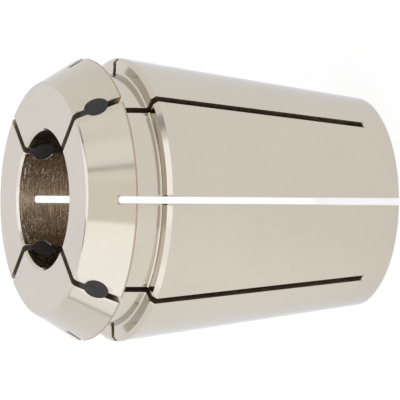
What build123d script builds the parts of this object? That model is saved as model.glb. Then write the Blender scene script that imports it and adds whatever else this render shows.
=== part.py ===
from build123d import *
import os
from math import radians, sqrt, tan

os.makedirs("parts", exist_ok=True)

# A double-slit spring collet, standing on its small end with the nose up.
# Z is the axis of the tool bore, and the back face lies at Z = 0.
# Millimetres and degrees throughout.

# Overall form
overall_length = 40.0
body_diameter = 33.0            # the clamping taper at its large end
bore_diameter = 16.0
taper_half_angle = 8.0
nose_half_angle = 30.0

# Head, which the clamping nut presses on and draws off by the groove
head_length = 5.15              # nose face to the rear face of the head
head_relief = 0.1               # the head's rim stands this far inside the large end of the taper
groove_width = 3.78
groove_depth = 1.8              # below the head's rim
groove_corner_radius = 0.3

# Edges
lead_length = 0.5               # chamfer where the groove wall meets the taper
lead_depth = 0.5
nose_edge_length = 0.22         # edge break between the nose face and the nose cone
nose_edge_depth = 0.36
head_edge_break = 0.1
back_edge_break = 0.3
bore_chamfer = 0.27

# Saw cuts: four from the nose and four from the back, each cut half round the next
slot_width = 0.85
slot_pairs = 2                  # a pass of the saw opens two opposite slots
saw_radius = 90.0
saw_corner_radius = 0.25
nose_web = 2.28                 # metal left ahead of the slots from the back, at the bore
back_web = 2.8                  # metal left behind the slots from the nose, at the bore

# Rubber seals, each in a hole drilled across a slot from the nose cone to the bore
seal_hole_diameter = 2.5
seal_depth = 2.4                # nose face to the axis of the seal holes
seal_phase = 1.0                # angle of the seal holes past the middle of their slots
seal_lip = 0.4                  # rubber that runs on along the slot towards the nose

# Worked out from the sizes above
bore_radius = bore_diameter / 2
body_radius = body_diameter / 2
head_radius = body_radius - head_relief
groove_radius = head_radius - groove_depth
seal_hole_radius = seal_hole_diameter / 2
head_rear = overall_length - head_length
groove_wall = head_rear - groove_width
taper_top = groove_wall - lead_length
cone_top = overall_length - nose_edge_length
cone_top_radius = head_radius - (cone_top - head_rear - head_edge_break) * tan(radians(nose_half_angle))
back_radius = body_radius - (taper_top - back_edge_break) * tan(radians(taper_half_angle))
slot_spacing = 180.0 / slot_pairs
seal_height = overall_length - seal_depth


def turned_blank():
    """The collet as it leaves the lathe: bored, tapered and grooved, with no slots."""
    outline = Polyline(
        (bore_radius + bore_chamfer, 0, 0),
        (back_radius - back_edge_break, 0, 0),
        (back_radius, 0, back_edge_break),
        (body_radius, 0, taper_top),
        (body_radius - lead_depth, 0, groove_wall),
        (groove_radius, 0, groove_wall),
        (groove_radius, 0, head_rear),
        (head_radius - head_edge_break, 0, head_rear),
        (head_radius, 0, head_rear + head_edge_break),
        (cone_top_radius, 0, cone_top),
        (cone_top_radius - nose_edge_depth, 0, overall_length),
        (bore_radius + bore_chamfer, 0, overall_length),
        (bore_radius, 0, overall_length - bore_chamfer),
        (bore_radius, 0, bore_chamfer),
        close=True,
    )
    section = make_face(outline)
    groove_corners = [v for v in section.vertices() if abs(v.X - groove_radius) < groove_corner_radius]
    section = fillet(groove_corners, groove_corner_radius)
    return revolve(section, Axis.Z, 360)


def saw_disc(angle, centre_height):
    """The space one pass of the slitting saw opens, its disc standing on the collet's axis."""
    disc = Cylinder(saw_radius, slot_width)
    disc = fillet(disc.edges(), saw_corner_radius)
    return Pos(0, 0, centre_height) * Rot(0, 0, angle) * Rot(90, 0, 0) * disc


def back_cuts():
    """Slots on the X and Y axes, open at the back face and closed inside the head."""
    reach = sqrt(saw_radius**2 - bore_radius**2)
    height = overall_length - nose_web - reach
    return [saw_disc(slot_spacing * n, height) for n in range(slot_pairs)]


def nose_cuts():
    """Slots halfway between the others, open at the nose and closed short of the back face."""
    reach = sqrt(saw_radius**2 - bore_radius**2)
    height = back_web + reach
    return [saw_disc(slot_spacing * (n + 0.5), height) for n in range(slot_pairs)]


def seal_space(angle):
    """A drilled seal hole, from inside the bore to outside the nose cone."""
    drill = Cylinder(seal_hole_radius, body_radius, align=(Align.CENTER, Align.CENTER, Align.MIN))
    return Rot(0, 0, angle + seal_phase) * Pos(0, 0, seal_height) * Rot(0, 90, 0) * drill


def seal_lip_space(angle):
    """The stretch of a slot that a seal's lip fills, on the nose side of its hole."""
    lip = Box(
        body_radius,
        slot_width,
        seal_hole_radius + seal_lip,
        align=(Align.MIN, Align.CENTER, Align.MIN),
    )
    return Rot(0, 0, angle) * Pos(0, 0, seal_height) * lip


def seal_angles():
    """The directions of the slots that open at the nose, one seal in each."""
    return [slot_spacing * (n + 0.5) for n in range(2 * slot_pairs)]


def collet_body(blank):
    """The spring-steel sleeve: the blank, slit from both ends and drilled for the seals."""
    body = blank
    for cut in nose_cuts() + back_cuts():
        body = body - cut
    for angle in seal_angles():
        body = body - seal_space(angle)
    return body


def seal_plug(blank, angle):
    """A rubber seal, flush with the nose cone outside and with the bore inside."""
    return blank & (seal_space(angle) + seal_lip_space(angle))


blank = turned_blank()
export_step(collet_body(blank), "parts/collet_body.step")
for number, angle in enumerate(seal_angles(), start=1):
    export_step(seal_plug(blank, angle), f"parts/seal_plug_{number}.step")
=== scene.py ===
"""Finish of a double-slit spring collet: ground steel sleeve, rubber seals and a plain white studio."""

import math
from types import SimpleNamespace

import bmesh
import bpy
from bpy.props import FloatProperty, FloatVectorProperty, IntProperty, PointerProperty
from mathutils import Matrix, Vector


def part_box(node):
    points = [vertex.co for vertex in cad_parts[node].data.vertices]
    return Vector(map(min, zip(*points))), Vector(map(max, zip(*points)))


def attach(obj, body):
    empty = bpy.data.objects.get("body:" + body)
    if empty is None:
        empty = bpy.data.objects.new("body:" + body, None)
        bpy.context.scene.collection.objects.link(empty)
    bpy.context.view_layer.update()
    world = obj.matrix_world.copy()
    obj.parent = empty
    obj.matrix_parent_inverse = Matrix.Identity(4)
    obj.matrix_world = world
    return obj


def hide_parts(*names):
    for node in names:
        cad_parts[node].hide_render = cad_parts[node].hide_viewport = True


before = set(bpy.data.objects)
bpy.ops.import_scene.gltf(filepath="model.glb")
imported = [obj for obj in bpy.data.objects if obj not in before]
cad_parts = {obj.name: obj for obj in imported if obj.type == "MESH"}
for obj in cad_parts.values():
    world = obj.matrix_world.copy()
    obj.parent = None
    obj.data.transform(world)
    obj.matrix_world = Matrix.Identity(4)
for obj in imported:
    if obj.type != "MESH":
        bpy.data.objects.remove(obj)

bl_info = {
    "name": "Spring Collet",
    "version": (1, 0, 0),
    "blender": (4, 5, 0),
    "location": "View3D > Sidebar > Collet",
    "description": "Builds the ground sleeve, the rubber seals and the studio of a spring collet",
    "category": "Object",
}

MM = 0.001
AXIS = Vector((0.0, 0.0, 1.0))
ORIGIN = Vector((0.0, 0.0, 0.0))
JOIN = 0.0002 * MM              # vertices nearer than this are one

BODY_NODE = "collet_body"
SEAL_NODES = [f"seal_plug_{number}" for number in range(1, 5)]

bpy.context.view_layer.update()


# ---------------------------------------------------------------- settings


def length(name, description, millimetres):
    """A length property, given in millimetres."""
    return FloatProperty(
        name=name,
        description=description,
        default=millimetres * MM,
        min=0.0,
        precision=6,
        unit="LENGTH",
    )


def angle(name, description, degrees):
    """An angle property, given in degrees."""
    return FloatProperty(name=name, description=description, default=math.radians(degrees), unit="ROTATION")


def share(name, description, default, highest=1.0):
    """A plain factor property."""
    return FloatProperty(
        name=name,
        description=description,
        default=default,
        min=0.0,
        max=highest,
        precision=3,
        subtype="FACTOR",
    )


def colour(name, description, default):
    """A linear colour property."""
    return FloatVectorProperty(
        name=name,
        description=description,
        default=default,
        size=3,
        min=0.0,
        max=1.0,
        subtype="COLOR",
    )


class ColletSizes(bpy.types.PropertyGroup):
    """Sizes of the sleeve and its saw cuts."""

    overall_length: length("Overall length", "Back face to nose face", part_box(BODY_NODE)[1].z / MM)
    body_diameter: length("Body diameter", "Large end of the clamping taper", 33.0)
    bore_diameter: length("Bore diameter", "Hole that grips the tool", 16.0)
    taper_half_angle: angle("Taper half angle", "Slope of the clamping taper", 8.0)
    nose_half_angle: angle("Nose half angle", "Slope of the nose cone", 30.0)
    head_length: length("Head length", "Nose face to the rear face of the head", 5.15)
    head_relief: length("Head relief", "How far the rim stands inside the taper's large end", 0.1)
    groove_width: length("Groove width", "Width of the draw-off groove", 3.78)
    groove_depth: length("Groove depth", "Depth of the groove below the head's rim", 1.8)
    groove_corner_radius: length("Groove corner radius", "Fillet at the foot of the groove", 0.3)
    lead_length: length("Lead length", "Chamfer at the taper's large end, along the axis", 0.5)
    lead_depth: length("Lead depth", "Chamfer at the taper's large end, across the axis", 0.5)
    nose_edge_length: length("Nose edge length", "Edge break at the nose face, along the axis", 0.22)
    nose_edge_depth: length("Nose edge depth", "Edge break at the nose face, across the axis", 0.36)
    head_edge_break: length("Head edge break", "Chamfer on the rim of the head", 0.1)
    back_edge_break: length("Back edge break", "Chamfer at the back face", 0.3)
    bore_chamfer: length("Bore chamfer", "Chamfer at both ends of the bore", 0.27)
    slot_width: length("Slot width", "Thickness of the slitting saw", 0.85)
    saw_radius: length("Saw radius", "Radius of the slitting saw", 90.0)
    saw_corner_radius: length("Saw corner radius", "Rounded corner of the saw's rim", 0.25)
    nose_web: length("Nose web", "Metal ahead of the slots from the back, at the bore", 2.28)
    back_web: length("Back web", "Metal behind the slots from the nose, at the bore", 2.8)
    edge_round: length("Edge rounding", "Fine break on every sharp edge", 0.04)
    # painted shade: the cone's strip along the head's rim takes the darker sawn steel, a painted dark line
    # of shade and dark reflection
    rim_shade_band: length("Rim band", "Unpolished strip of the cone along the head's rim", 0.12)
    seal_hole_diameter: length("Seal hole", "Diameter of the holes for the seals", 2.5)
    seal_depth: length("Seal depth", "Nose face to the axis of the seal holes", 2.4)
    seal_phase: angle("Seal phase", "Turn of the seal holes past their slots", 1.0)
    seal_lip: length("Seal lip", "Rubber that runs on along the slot", 0.4)
    land_steps: IntProperty(
        name="Land steps",
        description="Facets round each of the eight lands",
        default=48,
        min=8,
        max=90,
    )


class ColletFinish(bpy.types.PropertyGroup):
    """Colours and surface of the steel and the rubber."""

    steel: colour("Steel", "Ground steel", (0.597, 0.546, 0.468))
    # painted light: partly the reamed finish's own colour, partly painted light that the bore's walls don't
    # get, so it is lighter than the ground steel
    lightened_bore_steel: colour("Bore steel", "Reamed steel inside the bore", (0.728, 0.649, 0.555))
    # laid on the slot walls, and on the head's rim as painted shade
    sawn_steel_and_rim_shade: colour("Sawn steel", "Steel inside the slots", (0.430, 0.355, 0.280))
    rubber: colour("Rubber", "Seal rubber", (0.0215, 0.0205, 0.0200))
    steel_roughness: share("Steel roughness", "Roughness of the ground steel", 0.12)
    bore_roughness: share("Bore roughness", "Roughness inside the bore", 0.12)
    sawn_roughness: share("Sawn roughness", "Roughness inside the slots", 0.45)
    rubber_roughness: share("Rubber roughness", "Roughness of the seals", 0.62)


class StudioSettings(bpy.types.PropertyGroup):
    """Camera, floor and lights."""

    camera_distance: length("Camera distance", "Camera to the middle of the collet's axis", 838.96)
    camera_elevation: angle("Camera elevation", "Camera above the horizon", 23.233)
    camera_roll: angle("Camera roll", "Turn of the picture, nose to the left", 89.6164)
    focal_pixels: FloatProperty(
        name="Focal length",
        description="Focal length in widths of one picture pixel",
        default=7166.3,
    )
    aim_right: FloatProperty(name="Aim right", description="Aim point's shift in pixels", default=0.977)
    aim_up: FloatProperty(name="Aim up", description="Aim point's shift in pixels", default=-0.343)
    shadow_depth: share("Shadow depth", "How dark the shadow on the floor may get", 0.1)
    world_level: share("World level", "Brightness of the surroundings", 1.0, highest=2.0)


# ---------------------------------------------------------------- section


def derived_sizes(s):
    """Radii and heights that follow from the driving sizes."""
    d = SimpleNamespace()
    d.bore_radius = s.bore_diameter / 2
    d.body_radius = s.body_diameter / 2
    d.head_radius = d.body_radius - s.head_relief
    d.groove_radius = d.head_radius - s.groove_depth
    d.head_rear = s.overall_length - s.head_length
    d.groove_wall = d.head_rear - s.groove_width
    d.taper_top = d.groove_wall - s.lead_length
    d.cone_top = s.overall_length - s.nose_edge_length
    d.rim_top = d.head_rear + s.head_edge_break
    d.cone_slope = math.tan(s.nose_half_angle)
    d.taper_slope = math.tan(s.taper_half_angle)
    d.half_slot = s.slot_width / 2
    d.seal_height = s.overall_length - s.seal_depth
    d.seal_radius = s.seal_hole_diameter / 2
    reach = math.sqrt(s.saw_radius**2 - d.bore_radius**2)
    d.back_saw_height = s.overall_length - s.nose_web - reach
    d.nose_saw_height = s.back_web + reach
    return d


def cone_radius(d, height):
    """Radius of the nose cone at this height."""
    return d.head_radius - (height - d.rim_top) * d.cone_slope


def taper_radius(d, height):
    """Radius of the clamping taper at this height."""
    return d.body_radius - (d.taper_top - height) * d.taper_slope


def back_cut_height(s, d, radius):
    """Where the saw that comes from the back stops, at this radius."""
    return d.back_saw_height + math.sqrt(s.saw_radius**2 - radius**2)


def nose_cut_height(s, d, radius):
    """Where the saw that comes from the nose stops, at this radius."""
    return d.nose_saw_height - math.sqrt(s.saw_radius**2 - radius**2)


MEETING_ROUNDS = 12             # by then the meeting point has settled
FILLET_STEPS = 5


def meeting_point(s, d, cut_height, surface_radius):
    """The (radius, height) at which a saw's rim leaves the outer surface."""
    radius = d.body_radius
    for _ in range(MEETING_ROUNDS):
        height = cut_height(s, d, radius)
        radius = surface_radius(d, height)
    return radius, height


def groove_corner(s, d, height, turn):
    """Fillet points at the foot of the groove, where turn is -1 at its wall and 1 at the head."""
    round_radius = s.groove_corner_radius
    centre_radius = d.groove_radius + round_radius
    centre_height = height - turn * round_radius
    points = []
    for step in range(FILLET_STEPS + 1):
        swing = math.pi / 2 * step / FILLET_STEPS
        if turn > 0:
            swing = math.pi / 2 - swing
        points.append(
            (
                centre_radius - round_radius * math.sin(swing),
                centre_height + turn * round_radius * math.cos(swing),
            )
        )
    return points


def section_outline(s, d):
    """Half section of a land as (radius, height) pairs, with the places of the four saw ends in it."""
    nose_saw_out = meeting_point(s, d, nose_cut_height, taper_radius)
    back_saw_out = meeting_point(s, d, back_cut_height, cone_radius)
    back_radius = taper_radius(d, s.back_edge_break)
    cone_top_radius = cone_radius(d, d.cone_top)
    shade_band_top = d.rim_top + s.rim_shade_band
    outline = [
        (d.bore_radius, s.bore_chamfer),
        (d.bore_radius + s.bore_chamfer, 0.0),
        (back_radius - s.back_edge_break, 0.0),
        (back_radius, s.back_edge_break),
        nose_saw_out,
        (d.body_radius, d.taper_top),
        (d.body_radius - s.lead_depth, d.groove_wall),
    ]
    outline += groove_corner(s, d, d.groove_wall, -1)
    outline += groove_corner(s, d, d.head_rear, 1)
    outline += [
        (d.head_radius - s.head_edge_break, d.head_rear),
        (d.head_radius, d.rim_top),
        (cone_radius(d, shade_band_top), shade_band_top),
        back_saw_out,
        (cone_top_radius, d.cone_top),
        (cone_top_radius - s.nose_edge_depth, s.overall_length),
        (d.bore_radius + s.bore_chamfer, s.overall_length),
        (d.bore_radius, s.overall_length - s.bore_chamfer),
        (d.bore_radius, back_cut_height(s, d, d.bore_radius)),
        (d.bore_radius, nose_cut_height(s, d, d.bore_radius)),
    ]
    places = SimpleNamespace()
    places.nose_saw_out = outline.index(nose_saw_out)
    places.back_saw_out = outline.index(back_saw_out)
    places.back_saw_in = len(outline) - 2
    places.nose_saw_in = len(outline) - 1
    return outline, places


# ---------------------------------------------------------------- sleeve mesh

# slot 1, the bore's reamed steel, is lightened as painted light
REAMED_LIGHTENED = 1                      # material slots of the sleeve, where 0 is the ground steel
# slot 2, the sawn steel, also lies on the head's rim as painted shade
SAWN_AND_RIM_SHADE = 2

LANDS = 8
LAND_ANGLE = math.tau / LANDS   # from the middle of one slot to the middle of the next
ARC_STEPS = 10                  # along the saw's rim


def closed_row(bm, outline):
    """Vertices at these (radius, height) pairs, beside the axis, and the edges of the ring they form."""
    row = [bm.verts.new((radius, 0.0, height)) for radius, height in outline]
    edges = [bm.edges.new((row[i - 1], row[i])) for i in range(len(row))]
    return row, edges


def spun_land(bm, outline, steps):
    """Turns the outline through one land and returns its first and last rows of vertices."""
    first, edges = closed_row(bm, outline)
    spun = bmesh.ops.spin(
        bm, geom=first + edges, cent=ORIGIN, axis=AXIS, angle=LAND_ANGLE, steps=steps, use_duplicate=False
    )
    loose = [item for item in spun["geom_last"] if isinstance(item, bmesh.types.BMVert)]
    last = []
    for radius, height in outline:
        last.append(min(loose, key=lambda v: abs(v.co.xy.length - radius) + abs(v.co.z - height)))
    return first, last


def fit_between_slots(bm, d):
    """Slides every vertex round its own circle, so that the end rows lie in the slot walls."""
    for v in bm.verts:
        radius = v.co.xy.length
        swing = math.atan2(v.co.y, v.co.x)
        wall = math.asin(d.half_slot / radius)
        swing = wall + swing * (1.0 - 2.0 * wall / LAND_ANGLE)
        v.co.x = radius * math.cos(swing)
        v.co.y = radius * math.sin(swing)


def path_edges(bm, row, start, stop):
    """Edges of a closed row from one place to another, in the row's own order."""
    edges = []
    place = start
    while place != stop:
        following = (place + 1) % len(row)
        edges.append(bm.edges.get((row[place], row[following])))
        place = following
    return edges


def saw_arc(bm, start, stop, cut_height, s, d):
    """Edges along the saw's rim, in the slot wall, from one vertex to another."""
    edges = []
    previous = start
    for step in range(1, ARC_STEPS + 1):
        if step == ARC_STEPS:
            current = stop
        else:
            place = start.co.lerp(stop.co, step / ARC_STEPS)
            place.z = cut_height(s, d, place.xy.length)
            current = bm.verts.new(place)
        edges.append(bm.edges.new((previous, current)))
        previous = current
    return edges


def close_slot_side(bm, row, wall_path, cut_height, middle, s, d):
    """Fills a slot wall and carries the web past the saw's end to the slot's middle plane."""
    wall_start, wall_stop = wall_path
    arc = saw_arc(bm, row[wall_stop], row[wall_start], cut_height, s, d)
    wall_edges = path_edges(bm, row, wall_start, wall_stop) + arc
    wall = bmesh.ops.contextual_create(bm, geom=wall_edges)
    for face in wall["faces"]:
        face.material_index = SAWN_AND_RIM_SHADE
    web_edges = path_edges(bm, row, wall_stop, wall_start)
    moved = bmesh.ops.extrude_edge_only(bm, edges=web_edges + arc)
    for item in moved["geom"]:
        if isinstance(item, bmesh.types.BMVert):
            radius = item.co.xy.length
            item.co.x = radius * math.cos(middle)
            item.co.y = radius * math.sin(middle)
    for edge in arc:
        for face in edge.link_faces:
            face.material_index = SAWN_AND_RIM_SHADE
    bmesh.ops.bevel(
        bm,
        geom=arc,
        offset=s.saw_corner_radius,
        offset_type="OFFSET",
        affect="EDGES",
        segments=4,
        profile=0.5,
        material=-1,
        clamp_overlap=False,
    )


def choose_finishes(bm, s, d):
    """Gives the bore its reamed steel, lightened as painted light, and paints shade along the head's rim
    with the darker sawn steel.
    """
    for face in bm.faces:
        middle = face.calc_center_median()
        if middle.xy.length < d.bore_radius + JOIN:
            face.material_index = REAMED_LIGHTENED
        # painted shade: the head's rim takes the darker sawn steel
        in_rim_shade = d.head_rear < middle.z < d.rim_top + s.rim_shade_band
        if in_rim_shade and middle.xy.length > d.groove_radius + s.groove_corner_radius:
            face.material_index = SAWN_AND_RIM_SHADE


def land_mesh(s, d):
    """One land, from the middle of a back slot to the middle of a nose slot."""
    bm = bmesh.new()
    outline, places = section_outline(s, d)
    first, last = spun_land(bm, outline, s.land_steps)
    fit_between_slots(bm, d)
    choose_finishes(bm, s, d)
    close_slot_side(bm, first, (places.back_saw_in, places.back_saw_out), back_cut_height, 0.0, s, d)
    close_slot_side(bm, last, (places.nose_saw_out, places.nose_saw_in), nose_cut_height, LAND_ANGLE, s, d)
    return bm


def all_lands(bm):
    """Mirrors one land and turns the pair into the whole sleeve."""
    bmesh.ops.mirror(bm, geom=everything(bm), matrix=Matrix.Identity(4), merge_dist=JOIN, axis="Y")
    bmesh.ops.spin(
        bm,
        geom=everything(bm),
        cent=ORIGIN,
        axis=AXIS,
        angle=math.pi * 3 / 2,
        steps=3,
        use_duplicate=True,
    )
    bmesh.ops.remove_doubles(bm, verts=bm.verts[:], dist=JOIN)
    bmesh.ops.recalc_face_normals(bm, faces=bm.faces[:])


def everything(bm):
    """All vertices, edges and faces."""
    return bm.verts[:] + bm.edges[:] + bm.faces[:]


NOSE_SLOT_TURNS = [LAND_ANGLE + math.pi / 2 * number for number in range(4)]
HOLE_SEGMENTS = 64


def radial_cylinder(bm, radius, near, far, height, turn):
    """A capped cylinder that points away from the axis, from one radius to another."""
    place = (
        Matrix.Rotation(turn, 4, "Z")
        @ Matrix.Translation(((near + far) / 2, 0.0, height))
        @ Matrix.Rotation(math.pi / 2, 4, "Y")
    )
    bmesh.ops.create_cone(
        bm,
        cap_ends=True,
        segments=HOLE_SEGMENTS,
        radius1=radius,
        radius2=radius,
        depth=far - near,
        matrix=place,
    )


def combined(bm, cutter, operation):
    """The result of an exact boolean of two meshes, as a new bmesh."""
    target = object_from(bm, "boolean_target")
    tool = object_from(cutter, "boolean_tool")
    modifier = target.modifiers.new("cut", "BOOLEAN")
    modifier.operation = operation
    modifier.solver = "EXACT"
    modifier.object = tool
    evaluated = target.evaluated_get(bpy.context.evaluated_depsgraph_get())
    result = bmesh.new()
    result.from_mesh(evaluated.to_mesh())
    evaluated.to_mesh_clear()
    for scrap in (target, tool):
        mesh = scrap.data
        bpy.data.objects.remove(scrap)
        bpy.data.meshes.remove(mesh)
    return result


def object_from(bm, name):
    """Puts a bmesh into a new linked object, and frees it."""
    mesh = bpy.data.meshes.new(name)
    bm.to_mesh(mesh)
    bm.free()
    piece = bpy.data.objects.new(name, mesh)
    bpy.context.scene.collection.objects.link(piece)
    return piece


def drilled(bm, s, d):
    """The sleeve with its four seal holes."""
    drill = bmesh.new()
    for slot_turn in NOSE_SLOT_TURNS:
        turn = slot_turn + s.seal_phase
        radial_cylinder(drill, d.seal_radius, d.bore_radius / 2, d.body_radius, d.seal_height, turn)
    return combined(bm, drill, "DIFFERENCE")


def wall_ring(s, d):
    """The head's wall from the bore to the nose cone, over the height of the seals."""
    bm = bmesh.new()
    low = d.seal_height - 2 * d.seal_radius
    high = d.cone_top
    outline = [
        (d.bore_radius, low),
        (cone_radius(d, low), low),
        (cone_radius(d, high), high),
        (d.bore_radius, high),
    ]
    corners, edges = closed_row(bm, outline)
    bmesh.ops.spin(
        bm,
        geom=corners + edges,
        cent=ORIGIN,
        axis=AXIS,
        angle=math.tau,
        steps=LANDS * s.land_steps,
        use_merge=True,
        use_duplicate=False,
    )
    bmesh.ops.recalc_face_normals(bm, faces=bm.faces[:])
    return bm


def seal_mesh(s, d, slot_turn):
    """A seal, flush with the cone and the bore, with its lip in the slot towards the nose."""
    near = d.bore_radius / 2
    plug = bmesh.new()
    radial_cylinder(plug, d.seal_radius, near, d.body_radius, d.seal_height, slot_turn + s.seal_phase)
    lip = bmesh.new()
    rise = d.seal_radius + s.seal_lip
    place = (
        Matrix.Rotation(slot_turn, 4, "Z")
        @ Matrix.Translation(((near + d.body_radius) / 2, 0.0, d.seal_height + rise / 2))
        @ Matrix.Diagonal((d.body_radius - near, s.slot_width, rise, 1.0))
    )
    bmesh.ops.create_cube(lip, size=1.0, matrix=place)
    return combined(combined(plug, lip, "UNION"), wall_ring(s, d), "INTERSECT")


CREASE = math.radians(20.0)     # a chamfer's own edges, which stay crisp
KEEN = math.radians(60.0)       # edges that are broken with a fine round
WEAK = -16384                   # faces that take their shading from the stronger ones beside them
STRENGTH_LAYER = "__mod_weightednormals_faceweight"


def break_edges(bm, offset):
    """Rounds every keen outward edge, and stores where the new faces are, for the finish to brighten as
    rubbed metal and as a painted highlight.
    """
    strength = bm.faces.layers.int.new(STRENGTH_LAYER)
    layer = bm.faces.layers.float.new("edge_wear_and_highlight")
    keen = []
    for edge in bm.edges:
        turn = edge.calc_face_angle_signed()
        if turn > KEEN:
            keen.append(edge)
        elif abs(turn) > CREASE:
            edge.smooth = False
    rounded = bmesh.ops.bevel(
        bm,
        geom=keen,
        offset=offset,
        offset_type="OFFSET",
        affect="EDGES",
        segments=2,
        profile=0.5,
        material=-1,
        clamp_overlap=False,
        loop_slide=True,
    )
    for face in rounded["faces"]:
        face[layer] = 1.0
        face[strength] = WEAK


def soften_nose_edge(bm, d):
    """Lets the nose cone run into its edge break as a polished round."""
    strength = bm.faces.layers.int[STRENGTH_LAYER]
    for edge in bm.edges:
        if all(abs(v.co.z - d.cone_top) < JOIN and v.co.xy.length > d.body_radius / 2 for v in edge.verts):
            edge.smooth = True
            for face in edge.link_faces:
                if face.calc_center_median().z > d.cone_top:
                    face[strength] = WEAK


def finished_piece(bm, name, materials, nodes):
    """Makes the piece's object and ties it to the frame."""
    for face in bm.faces:
        face.smooth = True
    piece = object_from(bm, name)
    for material in materials:
        piece.data.materials.append(material)
    shading = piece.modifiers.new("even_normals", "WEIGHTED_NORMAL")
    shading.mode = "FACE_AREA"
    shading.weight = 50
    shading.keep_sharp = True
    shading.use_face_influence = True
    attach(piece, "root")
    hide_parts(*nodes)


# ---------------------------------------------------------------- node helpers


def new_material(name):
    """An empty node material with its output, and the Principled shader in it."""
    material = bpy.data.materials.new(name)
    material.use_nodes = True
    tree = material.node_tree
    tree.nodes.clear()
    output = tree.nodes.new("ShaderNodeOutputMaterial")
    shader = tree.nodes.new("ShaderNodeBsdfPrincipled")
    tree.links.new(shader.outputs["BSDF"], output.inputs["Surface"])
    return material, tree, shader


def feed(tree, value, socket):
    """Sets a socket to a plain value, or links an output to it."""
    if isinstance(value, bpy.types.NodeSocket):
        tree.links.new(value, socket)
    else:
        socket.default_value = value


def maths(tree, operation, *values, clamp=False):
    """A Math node's result."""
    node = tree.nodes.new("ShaderNodeMath")
    node.operation = operation
    node.use_clamp = clamp
    for value, socket in zip(values, node.inputs):
        feed(tree, value, socket)
    return node.outputs[0]


def vector_maths(tree, operation, *values, output=0):
    """A Vector Math node's result."""
    node = tree.nodes.new("ShaderNodeVectorMath")
    node.operation = operation
    for value, socket in zip(values, node.inputs):
        feed(tree, value, socket)
    return node.outputs[output]


def remap(tree, value, low, high, new_low, new_high):
    """A value moved from one range to another, and kept inside it."""
    node = tree.nodes.new("ShaderNodeMapRange")
    node.clamp = True
    for item, socket in zip((value, low, high, new_low, new_high), node.inputs):
        feed(tree, item, socket)
    return node.outputs[0]


def scaled(tree, base, factor):
    """A colour or a vector times a plain factor."""
    node = tree.nodes.new("ShaderNodeVectorMath")
    node.operation = "SCALE"
    feed(tree, base, node.inputs[0])
    feed(tree, factor, node.inputs["Scale"])
    return node.outputs[0]


def mixed(tree, factor, first, second):
    """Two colours mixed."""
    node = tree.nodes.new("ShaderNodeMix")
    node.data_type = "RGBA"
    feed(tree, factor, node.inputs[0])
    feed(tree, first, node.inputs[6])
    feed(tree, second, node.inputs[7])
    return node.outputs[2]


def new_group(name, inputs, outputs):
    """A shader node group with named value sockets."""
    group = bpy.data.node_groups.new(name, "ShaderNodeTree")
    for label, kind, default in inputs:
        socket = group.interface.new_socket(label, in_out="INPUT", socket_type=kind)
        socket.default_value = default
    for label, kind in outputs:
        group.interface.new_socket(label, in_out="OUTPUT", socket_type=kind)
    start = group.nodes.new("NodeGroupInput")
    end = group.nodes.new("NodeGroupOutput")
    return group, start, end


def placed(tree, group, **values):
    """A group node's outputs in a material, with its own values."""
    node = tree.nodes.new("ShaderNodeGroup")
    node.node_tree = group
    for label, value in values.items():
        feed(tree, value, node.inputs[label.replace("_", " ")])
    return node.outputs


# ---------------------------------------------------------------- shared effects


def ring_grain_group():
    """Fine marks that run round the Z axis, as a grinding wheel or a lathe tool leaves them."""
    group, start, end = new_group(
        "ring_grain",
        [("Pitch", "NodeSocketFloat", 0.25 * MM), ("Wander", "NodeSocketFloat", 1.0)],
        [("Grain", "NodeSocketFloat")],
    )
    place = group.nodes.new("ShaderNodeTexCoord").outputs["Object"]
    flat = vector_maths(group, "MULTIPLY", place, (1.0, 1.0, 0.0))
    radius = vector_maths(group, "LENGTH", flat, output=1)
    heading = vector_maths(group, "NORMALIZE", flat)
    sideways = scaled(group, heading, start.outputs["Wander"])
    upright = vector_maths(group, "MULTIPLY", place, (0.0, 0.0, 1.0))
    upright = vector_maths(group, "DIVIDE", upright, start.outputs["Pitch"])
    spot = vector_maths(group, "ADD", sideways, upright)
    noise = group.nodes.new("ShaderNodeTexNoise")
    noise.noise_dimensions = "4D"
    feed(group, spot, noise.inputs["Vector"])
    feed(group, maths(group, "DIVIDE", radius, start.outputs["Pitch"]), noise.inputs["W"])
    noise.inputs["Scale"].default_value = 1.0
    noise.inputs["Detail"].default_value = 3.0
    noise.inputs["Roughness"].default_value = 0.6
    feed(group, noise.outputs["Fac"], end.inputs["Grain"])
    return group


def mottle_group():
    """Soft uneven patches."""
    group, start, end = new_group(
        "soft_mottle",
        [("Size", "NodeSocketFloat", 2.0 * MM), ("Detail", "NodeSocketFloat", 3.0)],
        [("Mottle", "NodeSocketFloat")],
    )
    place = group.nodes.new("ShaderNodeTexCoord").outputs["Object"]
    spot = vector_maths(group, "DIVIDE", place, start.outputs["Size"])
    noise = group.nodes.new("ShaderNodeTexNoise")
    feed(group, spot, noise.inputs["Vector"])
    noise.inputs["Scale"].default_value = 1.0
    feed(group, start.outputs["Detail"], noise.inputs["Detail"])
    feed(group, noise.outputs["Fac"], end.inputs["Mottle"])
    return group


WEAR_AND_HIGHLIGHT_BREAK = 1.5 * MM           # length of the breaks along a rubbed edge and its painted highlight
WEAR_AND_HIGHLIGHT_NOISE = (0.3, 0.6)
WEAR_AND_HIGHLIGHT_STRENGTH = (0.6, 1.0)


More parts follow.
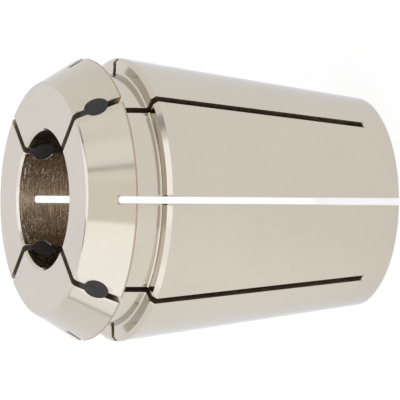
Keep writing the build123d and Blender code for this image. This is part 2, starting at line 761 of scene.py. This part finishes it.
def edge_wear_and_highlight_group():
    """How much a worked edge shows, as rubbed metal and a painted highlight, broken up a little along its
    run.
    """
    group, start, end = new_group(
        "edge_wear_and_highlight",
        [("Amount", "NodeSocketFloat", 1.0)],
        [("Mask", "NodeSocketFloat")],
    )
    stored = group.nodes.new("ShaderNodeAttribute")
    stored.attribute_name = "edge_wear_and_highlight"
    place = group.nodes.new("ShaderNodeTexCoord").outputs["Object"]
    noise = group.nodes.new("ShaderNodeTexNoise")
    feed(group, place, noise.inputs["Vector"])
    noise.inputs["Scale"].default_value = 1.0 / WEAR_AND_HIGHLIGHT_BREAK
    broken = remap(group, noise.outputs["Fac"], *WEAR_AND_HIGHLIGHT_NOISE, *WEAR_AND_HIGHLIGHT_STRENGTH)
    mask = maths(group, "MULTIPLY", stored.outputs["Fac"], broken)
    mask = maths(group, "MULTIPLY", mask, start.outputs["Amount"])
    feed(group, mask, end.inputs["Mask"])
    return group


def shared_group(name, maker):
    """A node group that is built once and found again by name."""
    found = bpy.data.node_groups.get(name)
    if found is None:
        found = maker()
    return found


def mottled(tree, size, detail):
    """Soft uneven patches of this size."""
    return placed(tree, shared_group("soft_mottle", mottle_group), Size=size, Detail=detail)["Mottle"]


def worn_and_highlit(tree, amount):
    """Where the worked edges are, at this strength: rubbed metal and a painted highlight."""
    return placed(tree, shared_group("edge_wear_and_highlight", edge_wear_and_highlight_group), Amount=amount)["Mask"]


def add_bump(tree, shader, height, strength, depth):
    """Relief on the surface, from a height."""
    bump = tree.nodes.new("ShaderNodeBump")
    bump.inputs["Strength"].default_value = strength
    bump.inputs["Distance"].default_value = depth
    feed(tree, height, bump.inputs["Height"])
    feed(tree, bump.outputs["Normal"], shader.inputs["Normal"])


# ---------------------------------------------------------------- materials

NOISE_RANGE = (0.3, 0.7)        # the part of a noise's values that is put to use

STEEL_EDGE_TINT = (0.86, 0.88, 0.92, 1.0)       # at a glancing angle
STEEL_PATCHES = (0.985, 1.015)  # brightness of the soft patches
STEEL_WEAR_AND_HIGHLIGHT_GAIN = 1.12          # how much brighter a worked edge is: rubbed metal and a painted highlight
STEEL_SMOOTHEST = 0.85          # shares of the roughness between the marks and in them
STEEL_ROUGHEST = 1.15

DUST_RANGE = (0.35, 0.7)
DUST_TONES = (0.85, 1.3)
RUBBER_WEAR_GAIN = 1.25
RUBBER_SMOOTHER = 0.06          # steps of roughness down and up over the skin
RUBBER_ROUGHER = 0.08


def steel_material(name, base, roughness, pitch, wander, tone, relief):
    """Bare metal with marks round the axis: tone is their contrast and relief their depth."""
    material, tree, shader = new_material(name)
    grain = placed(tree, shared_group("ring_grain", ring_grain_group), Pitch=pitch, Wander=wander)["Grain"]
    mottle = mottled(tree, size=6.0 * MM, detail=3.0)
    wear_and_highlight = worn_and_highlit(tree, amount=1.0)
    streaks = remap(tree, grain, *NOISE_RANGE, 1.0 - tone, 1.0 + tone)
    patches = remap(tree, mottle, *NOISE_RANGE, *STEEL_PATCHES)
    brightness = maths(tree, "MULTIPLY", streaks, patches)
    # painted highlight: the rounded edges are brighter in the base colour, partly rubbed metal, partly a
    # painted highlight
    brightness = maths(tree, "MULTIPLY", brightness, remap(tree, wear_and_highlight, 0.0, 1.0, 1.0, STEEL_WEAR_AND_HIGHLIGHT_GAIN))
    feed(tree, scaled(tree, base, brightness), shader.inputs["Base Color"])
    rough = remap(tree, grain, *NOISE_RANGE, roughness * STEEL_SMOOTHEST, roughness * STEEL_ROUGHEST)
    feed(tree, rough, shader.inputs["Roughness"])
    shader.inputs["Specular Tint"].default_value = STEEL_EDGE_TINT
    shader.inputs["Metallic"].default_value = 1.0
    add_bump(tree, shader, grain, strength=1.0, depth=relief)
    return material


def rubber_material(name, base, roughness):
    """Moulded black rubber with a fine matt skin and a little dust."""
    material, tree, shader = new_material(name)
    skin = mottled(tree, size=0.12 * MM, detail=4.0)
    dust = mottled(tree, size=0.9 * MM, detail=4.0)
    wear_and_highlight = worn_and_highlit(tree, amount=0.6)
    brightness = remap(tree, dust, *DUST_RANGE, *DUST_TONES)
    brightness = maths(tree, "MULTIPLY", brightness, remap(tree, wear_and_highlight, 0.0, 1.0, 1.0, RUBBER_WEAR_GAIN))
    feed(tree, scaled(tree, base, brightness), shader.inputs["Base Color"])
    rough = remap(tree, skin, *NOISE_RANGE, roughness - RUBBER_SMOOTHER, roughness + RUBBER_ROUGHER)
    feed(tree, rough, shader.inputs["Roughness"])
    shader.inputs["Specular IOR Level"].default_value = 0.4
    add_bump(tree, shader, skin, strength=0.6, depth=0.006 * MM)
    return material


# ---------------------------------------------------------------- operators


class COLLET_OT_sleeve(bpy.types.Operator):
    """Build the slit steel sleeve"""

    bl_idname = "collet.sleeve"
    bl_label = "Steel Sleeve"

    def execute(self, context):
        s = context.scene.collet_sizes
        finish = context.scene.collet_finish
        d = derived_sizes(s)
        bm = land_mesh(s, d)
        all_lands(bm)
        bm = drilled(bm, s, d)
        break_edges(bm, s.edge_round)
        soften_nose_edge(bm, d)
        materials = [
            steel_material(
                "ground_steel",
                finish.steel,
                finish.steel_roughness,
                pitch=0.16 * MM,
                wander=2.0,
                tone=0.012,
                relief=0.0008 * MM,
            ),
            # painted light: the bore's reamed steel is lighter than the ground steel, partly its finish,
            # partly painted light
            steel_material(
                "reamed_steel_lightened",
                finish.lightened_bore_steel,
                finish.bore_roughness,
                pitch=0.22 * MM,
                wander=5.0,
                tone=0.22,
                relief=0.080 * MM,
            ),
            steel_material(
                "sawn_steel_and_rim_shade",
                finish.sawn_steel_and_rim_shade,
                finish.sawn_roughness,
                pitch=0.30 * MM,
                wander=4.0,
                tone=0.12,
                relief=0.002 * MM,
            ),
        ]
        finished_piece(bm, "steel_sleeve", materials, [BODY_NODE])
        return {"FINISHED"}


class COLLET_OT_seals(bpy.types.Operator):
    """Build the four rubber seals"""

    bl_idname = "collet.seals"
    bl_label = "Rubber Seals"

    def execute(self, context):
        s = context.scene.collet_sizes
        finish = context.scene.collet_finish
        d = derived_sizes(s)
        material = rubber_material("seal_rubber", finish.rubber, finish.rubber_roughness)
        for number, (node, slot_turn) in enumerate(zip(SEAL_NODES, NOSE_SLOT_TURNS), start=1):
            bm = seal_mesh(s, d, slot_turn)
            break_edges(bm, s.edge_round)
            finished_piece(bm, f"rubber_seal_{number}", [material], [node])
        return {"FINISHED"}


# ---------------------------------------------------------------- studio

PICTURE_WIDTH = 400             # the picture is square, this many pixels wide
SENSOR_WIDTH = 36.0             # in millimetres, as the lens is


def add_camera(studio, s):
    """A long-lens camera that looks down on the standing collet, with its picture turned on its side."""
    down = studio.camera_elevation
    forward = Vector((0.0, math.cos(down), -math.sin(down)))
    level = Vector((1.0, 0.0, 0.0))
    upward = level.cross(forward)
    turn = studio.camera_roll
    right = level * math.cos(turn) - upward * math.sin(turn)
    up = level * math.sin(turn) + upward * math.cos(turn)
    distance = studio.camera_distance
    pixel = distance / studio.focal_pixels
    target = Vector((0.0, 0.0, s.overall_length / 2))
    place = target - forward * distance - right * studio.aim_right * pixel - up * studio.aim_up * pixel
    data = bpy.data.cameras.new("camera")
    data.sensor_width = SENSOR_WIDTH
    data.lens = studio.focal_pixels / PICTURE_WIDTH * SENSOR_WIDTH
    data.clip_start = 0.01
    data.clip_end = 50.0
    camera = bpy.data.objects.new("camera", data)
    camera.matrix_world = Matrix.Translation(place) @ Matrix((right, up, -forward)).transposed().to_4x4()
    bpy.context.scene.collection.objects.link(camera)
    bpy.context.scene.camera = camera


def seen_directly(tree):
    """1 for camera, glossy and transmission rays, and 0 for the rest."""
    path = tree.nodes.new("ShaderNodeLightPath")
    seen = maths(tree, "MAXIMUM", path.outputs["Is Camera Ray"], path.outputs["Is Glossy Ray"])
    return maths(tree, "MAXIMUM", seen, path.outputs["Is Transmission Ray"])


WHITE = (1.0, 1.0, 1.0, 1.0)
PAPER = (0.8, 0.8, 0.8)
PAPER_TONES = (0.97, 1.0)
FLOOR_REACH = 6.0               # from the collet to the floor's edges
SIDE_GLOW = 1.09                # of the floor at the collet's -X side
SIDE_GLOW_REACH = 0.035         # from the axis to where the side glow is full


def floor_material(studio):
    """White paper: it shows white to the eye and in the metal, and keeps a light shadow."""
    material, tree, shader = new_material("floor_paper")
    depth = studio.shadow_depth
    fibre = mottled(tree, size=40.0 * MM, detail=2.0)
    tone = remap(tree, fibre, *NOISE_RANGE, *PAPER_TONES)
    seen = seen_directly(tree)
    plain = scaled(tree, PAPER, tone)
    faint = scaled(tree, (depth, depth, depth), tone)
    feed(tree, mixed(tree, seen, plain, faint), shader.inputs["Base Color"])
    shader.inputs["Roughness"].default_value = 1.0
    shader.inputs["Specular IOR Level"].default_value = 0.0
    shader.inputs["Emission Color"].default_value = WHITE
    across = tree.nodes.new("ShaderNodeSeparateXYZ")
    feed(tree, tree.nodes.new("ShaderNodeTexCoord").outputs["Object"], across.inputs["Vector"])
    side_light = remap(tree, across.outputs["X"], -SIDE_GLOW_REACH, 0.0, SIDE_GLOW, 1.0)
    glow = maths(tree, "MULTIPLY", seen, side_light)
    feed(tree, maths(tree, "MULTIPLY", glow, 1.0 - depth), shader.inputs["Emission Strength"])
    return material


def add_floor(studio):
    """A wide plain floor under the back face."""
    bm = bmesh.new()
    bmesh.ops.create_grid(bm, x_segments=4, y_segments=4, size=FLOOR_REACH)
    floor = object_from(bm, "floor")
    floor.data.materials.append(floor_material(studio))


BEHIND_FALLOFF = 3.0            # how fast the tint behind fades to the sides
TINT_BEHIND = (1.13, 1.12, 1.17, 1.0)
TINT_BEFORE = (1.0, 0.97, 0.90, 1.0)
TINT_BESIDE = (0.95, 0.94, 0.92, 1.0)


def add_world(studio):
    """White surroundings: a little cooler behind the collet, warmer in front and dimmer at one side."""
    world = bpy.data.worlds.new("studio_world")
    bpy.context.scene.world = world
    world.use_nodes = True
    tree = world.node_tree
    background = tree.nodes["Background"]
    heading = tree.nodes.new("ShaderNodeSeparateXYZ")
    feed(tree, tree.nodes.new("ShaderNodeTexCoord").outputs["Generated"], heading.inputs["Vector"])
    behind = maths(tree, "MAXIMUM", heading.outputs["Y"], 0.0)
    behind = maths(tree, "POWER", behind, BEHIND_FALLOFF)
    before = maths(tree, "MULTIPLY", heading.outputs["Y"], -1.0, clamp=True)
    beside = maths(tree, "MULTIPLY", heading.outputs["X"], 1.0, clamp=True)
    shade = mixed(tree, behind, WHITE, TINT_BEHIND)
    shade = mixed(tree, before, shade, TINT_BEFORE)
    shade = mixed(tree, beside, shade, TINT_BESIDE)
    feed(tree, shade, background.inputs["Color"])
    background.inputs["Strength"].default_value = studio.world_level


PANEL_COLOUR = (0.78, 0.85, 1.0)
PANEL_HEIGHT = 1.0              # of the level panels, above the floor
WALL_PLACE = -0.8               # of the standing panels, along X
FLAG_GAP = 0.01                 # flags hang this far inside the panels
CARD_COLOUR = (0.5, 0.5, 0.52, 1.0)

# Level panels: name, middle and size as (x, y), and level
LEVEL_PANELS = (
    ("top_panel", (0.19, -0.36), (0.87, 1.08), 0.62),
    ("top_side_panel", (-0.47, -0.36), (0.45, 1.08), 0.42),
    ("far_panel_left", (0.53, -0.875), (0.26, 1.15), 0.09),
    ("far_panel", (0.975, -0.875), (0.63, 1.15), 0.19),
    ("far_panel_right", (1.87, -0.875), (1.16, 1.15), 0.12),
    ("rear_panel", (-0.665, 0.615), (0.37, 0.57), 0.38),
)

# Standing panels: name, near and far corner as (y, z), and level
WALL_PANELS = (
    ("side_panel", (-1.6, 0.2), (0.06, 1.15), 0.54),
    ("side_panel_front", (-2.02, 1.15), (-1.3, 1.7), 0.54),
    ("side_panel_back", (0.06, 0.1), (0.232, 1.0), 0.27),
)

# Level flags: name and corners as (x, y)
LEVEL_FLAGS = (
    ("side_flag", ((0.61, -1.4), (0.65, -1.4), (0.98, -0.15), (0.945, 0.03), (0.81, 0.03), (0.725, -0.12))),
    ("edge_flag", ((0.80, -0.33), (1.30, -0.78), (1.75, -0.25), (1.08, -0.08))),
    ("rear_flag", ((-0.48, -0.12), (-0.17, -0.22), (-0.13, 0.10), (-0.42, 0.2))),
)

# The standing flag: corners as (y, z)
WALL_FLAG = ((0.232, 0.0), (0.262, 0.0), (0.262, 0.6), (0.232, 0.6))


def soft_light(name, matrix, width, height, level):
    """A rectangular light that adds this much brightness where it is seen."""
    data = bpy.data.lights.new(name, "AREA")
    data.shape = "RECTANGLE"
    data.size = width
    data.size_y = height
    data.color = PANEL_COLOUR
    data.energy = level * math.pi * width * height
    light = bpy.data.objects.new(name, data)
    light.matrix_world = matrix
    bpy.context.scene.collection.objects.link(light)


def add_panel(name, middle, size, level):
    """A level light panel above the collet."""
    soft_light(name, Matrix.Translation((*middle, PANEL_HEIGHT)), *size, level)


def add_wall_panel(name, near, far, level):
    """A standing light panel beside the collet, between two (y, z) corners."""
    middle = Matrix.Translation((WALL_PLACE, (near[0] + far[0]) / 2, (near[1] + far[1]) / 2))
    turn = Matrix.Rotation(-math.pi / 2, 4, "Y")
    soft_light(name, middle @ turn, far[1] - near[1], far[0] - near[0], level)


def flag_material():
    """Grey card."""
    material, _, shader = new_material("flag_card")
    shader.inputs["Base Color"].default_value = CARD_COLOUR
    shader.inputs["Roughness"].default_value = 0.9
    return material


def add_flag(name, corners, material):
    """A flat grey card in front of the panels, which draws a soft line on the polished steel."""
    bm = bmesh.new()
    for corner in corners:
        bm.verts.new(corner)
    bmesh.ops.contextual_create(bm, geom=bm.verts[:])
    flag = object_from(bm, name)
    flag.data.materials.append(material)


def add_lights():
    """The light panels, and the flags that hang just inside them."""
    for panel in LEVEL_PANELS:
        add_panel(*panel)
    for panel in WALL_PANELS:
        add_wall_panel(*panel)
    card = flag_material()
    for name, corners in LEVEL_FLAGS:
        add_flag(name, [(x, y, PANEL_HEIGHT - FLAG_GAP) for x, y in corners], card)
    add_flag("wall_flag", [(WALL_PLACE + FLAG_GAP, y, z) for y, z in WALL_FLAG], card)


class COLLET_OT_studio(bpy.types.Operator):
    """Set up the camera, the floor and the lights"""

    bl_idname = "collet.studio"
    bl_label = "Studio"

    def execute(self, context):
        studio = context.scene.collet_studio
        add_camera(studio, context.scene.collet_sizes)
        add_floor(studio)
        add_world(studio)
        add_lights()
        context.scene.view_settings.view_transform = "Standard"
        return {"FINISHED"}


class COLLET_PT_sidebar(bpy.types.Panel):
    """Sizes, finish and pieces of the collet"""

    bl_label = "Spring Collet"
    bl_space_type = "VIEW_3D"
    bl_region_type = "UI"
    bl_category = "Collet"

    def draw(self, context):
        for group in (context.scene.collet_sizes, context.scene.collet_finish, context.scene.collet_studio):
            box = self.layout.box()
            for name in group.__annotations__:
                box.prop(group, name)
        for operator in OPERATORS:
            self.layout.operator(operator.bl_idname)


OPERATORS = (COLLET_OT_studio, COLLET_OT_sleeve, COLLET_OT_seals)
CLASSES = (ColletSizes, ColletFinish, StudioSettings, *OPERATORS, COLLET_PT_sidebar)


def register():
    """Registers the classes and hangs the settings on the scene."""
    for item in CLASSES:
        bpy.utils.register_class(item)
    bpy.types.Scene.collet_sizes = PointerProperty(type=ColletSizes)
    bpy.types.Scene.collet_finish = PointerProperty(type=ColletFinish)
    bpy.types.Scene.collet_studio = PointerProperty(type=StudioSettings)


def unregister():
    """Takes everything back that register added."""
    del bpy.types.Scene.collet_studio
    del bpy.types.Scene.collet_finish
    del bpy.types.Scene.collet_sizes
    for item in reversed(CLASSES):
        bpy.utils.unregister_class(item)


def main():
    """Builds the studio and every piece."""
    register()
    bpy.ops.collet.studio()
    bpy.ops.collet.sleeve()
    bpy.ops.collet.seals()


if __name__ == "__main__":
    main()
